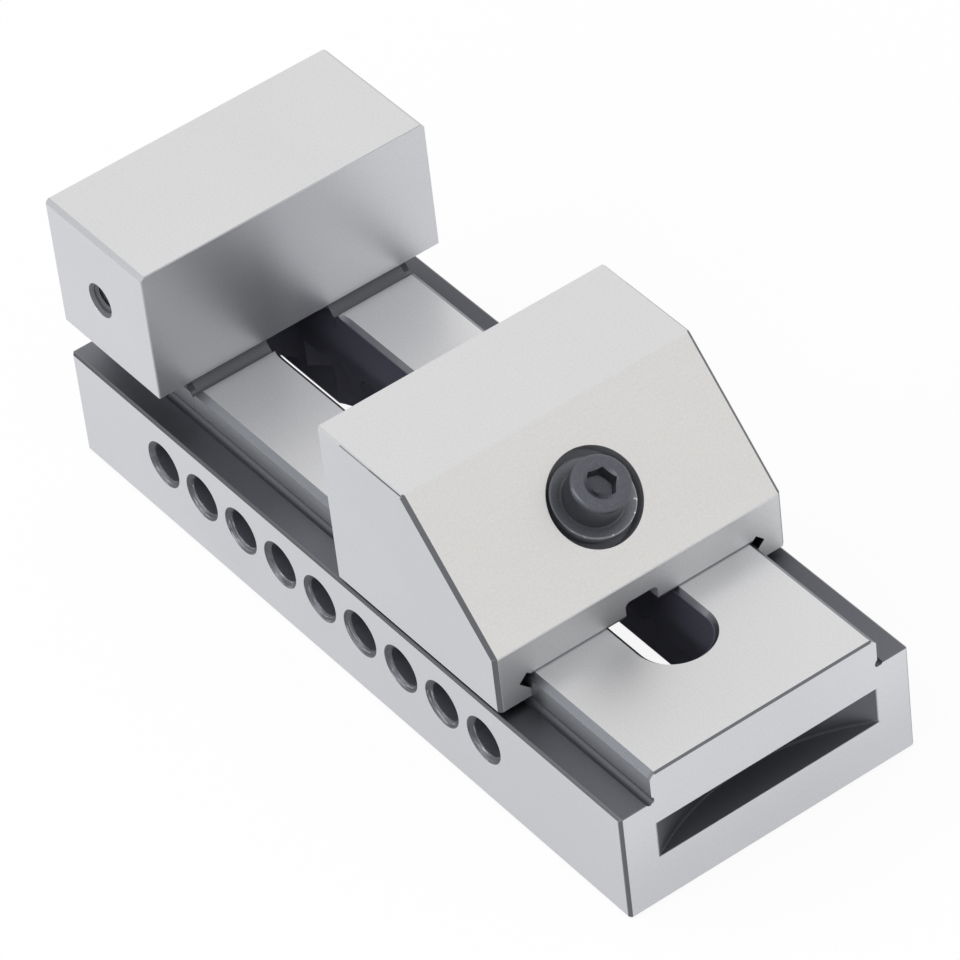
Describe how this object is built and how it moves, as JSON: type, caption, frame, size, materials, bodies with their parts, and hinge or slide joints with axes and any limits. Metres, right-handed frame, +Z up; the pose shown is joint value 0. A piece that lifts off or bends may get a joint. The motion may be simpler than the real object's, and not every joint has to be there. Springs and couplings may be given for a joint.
{
  "type": "toolmakers vise",
  "caption": "Precision ground toolmakers vise: one-piece body with a slotted guide rail, a sliding jaw with a 45 degree back, and a socket head screw that pulls a cross nut into round seats.",
  "frame": {"origin": "middle of the vise's base, on the surface that it stands on", "axes": "+X from the fixed jaw along the guide rail to the open end, +Y across the vise, +Z up"},
  "size_m": [0.19, 0.073, 0.07],
  "materials": {
    "ground_steel": "ground, satin",
    "black_steel": "black oxide",
    "spring_steel": "drawn wire",
    "nut_steel": "turned"
  },
  "bodies": {
    "vise_body": {"vise_body": "ground_steel"},
    "movable_jaw": {"movable_jaw": "ground_steel"},
    "ball_washer": {"ball_washer": "black_steel", "return_spring": "spring_steel"},
    "clamp_screw": {"clamp_screw": "black_steel"},
    "pull_nut": {"pull_nut": "nut_steel"}
  },
  "joints": [
    {"name": "jaw_slide", "type": "slide", "parent": "vise_body", "child": "movable_jaw", "axis": [1, 0, 0], "range_m": [-0.0615, 0.0385]},
    {"name": "screw_swing", "type": "hinge", "parent": "movable_jaw", "child": "ball_washer", "pos_m": [0.04276, 0, 0.0554], "axis": [0, 1, 0], "range_deg": [0, 9]},
    {"name": "screw_turn", "type": "hinge", "parent": "ball_washer", "child": "clamp_screw", "pos_m": [0.04276, 0, 0.0554], "axis": [-0.4955, 0, -0.8686], "range_deg": [0, 720]},
    {"name": "nut_lift", "type": "slide", "parent": "ball_washer", "child": "pull_nut", "axis": [0.4955, 0, 0.8686], "range_m": [0, 0.0027]}
  ],
  "couplings": [
    {"joint": "nut_lift", "follows": "screw_turn", "m_per_rad": 0.00019894}
  ]
}
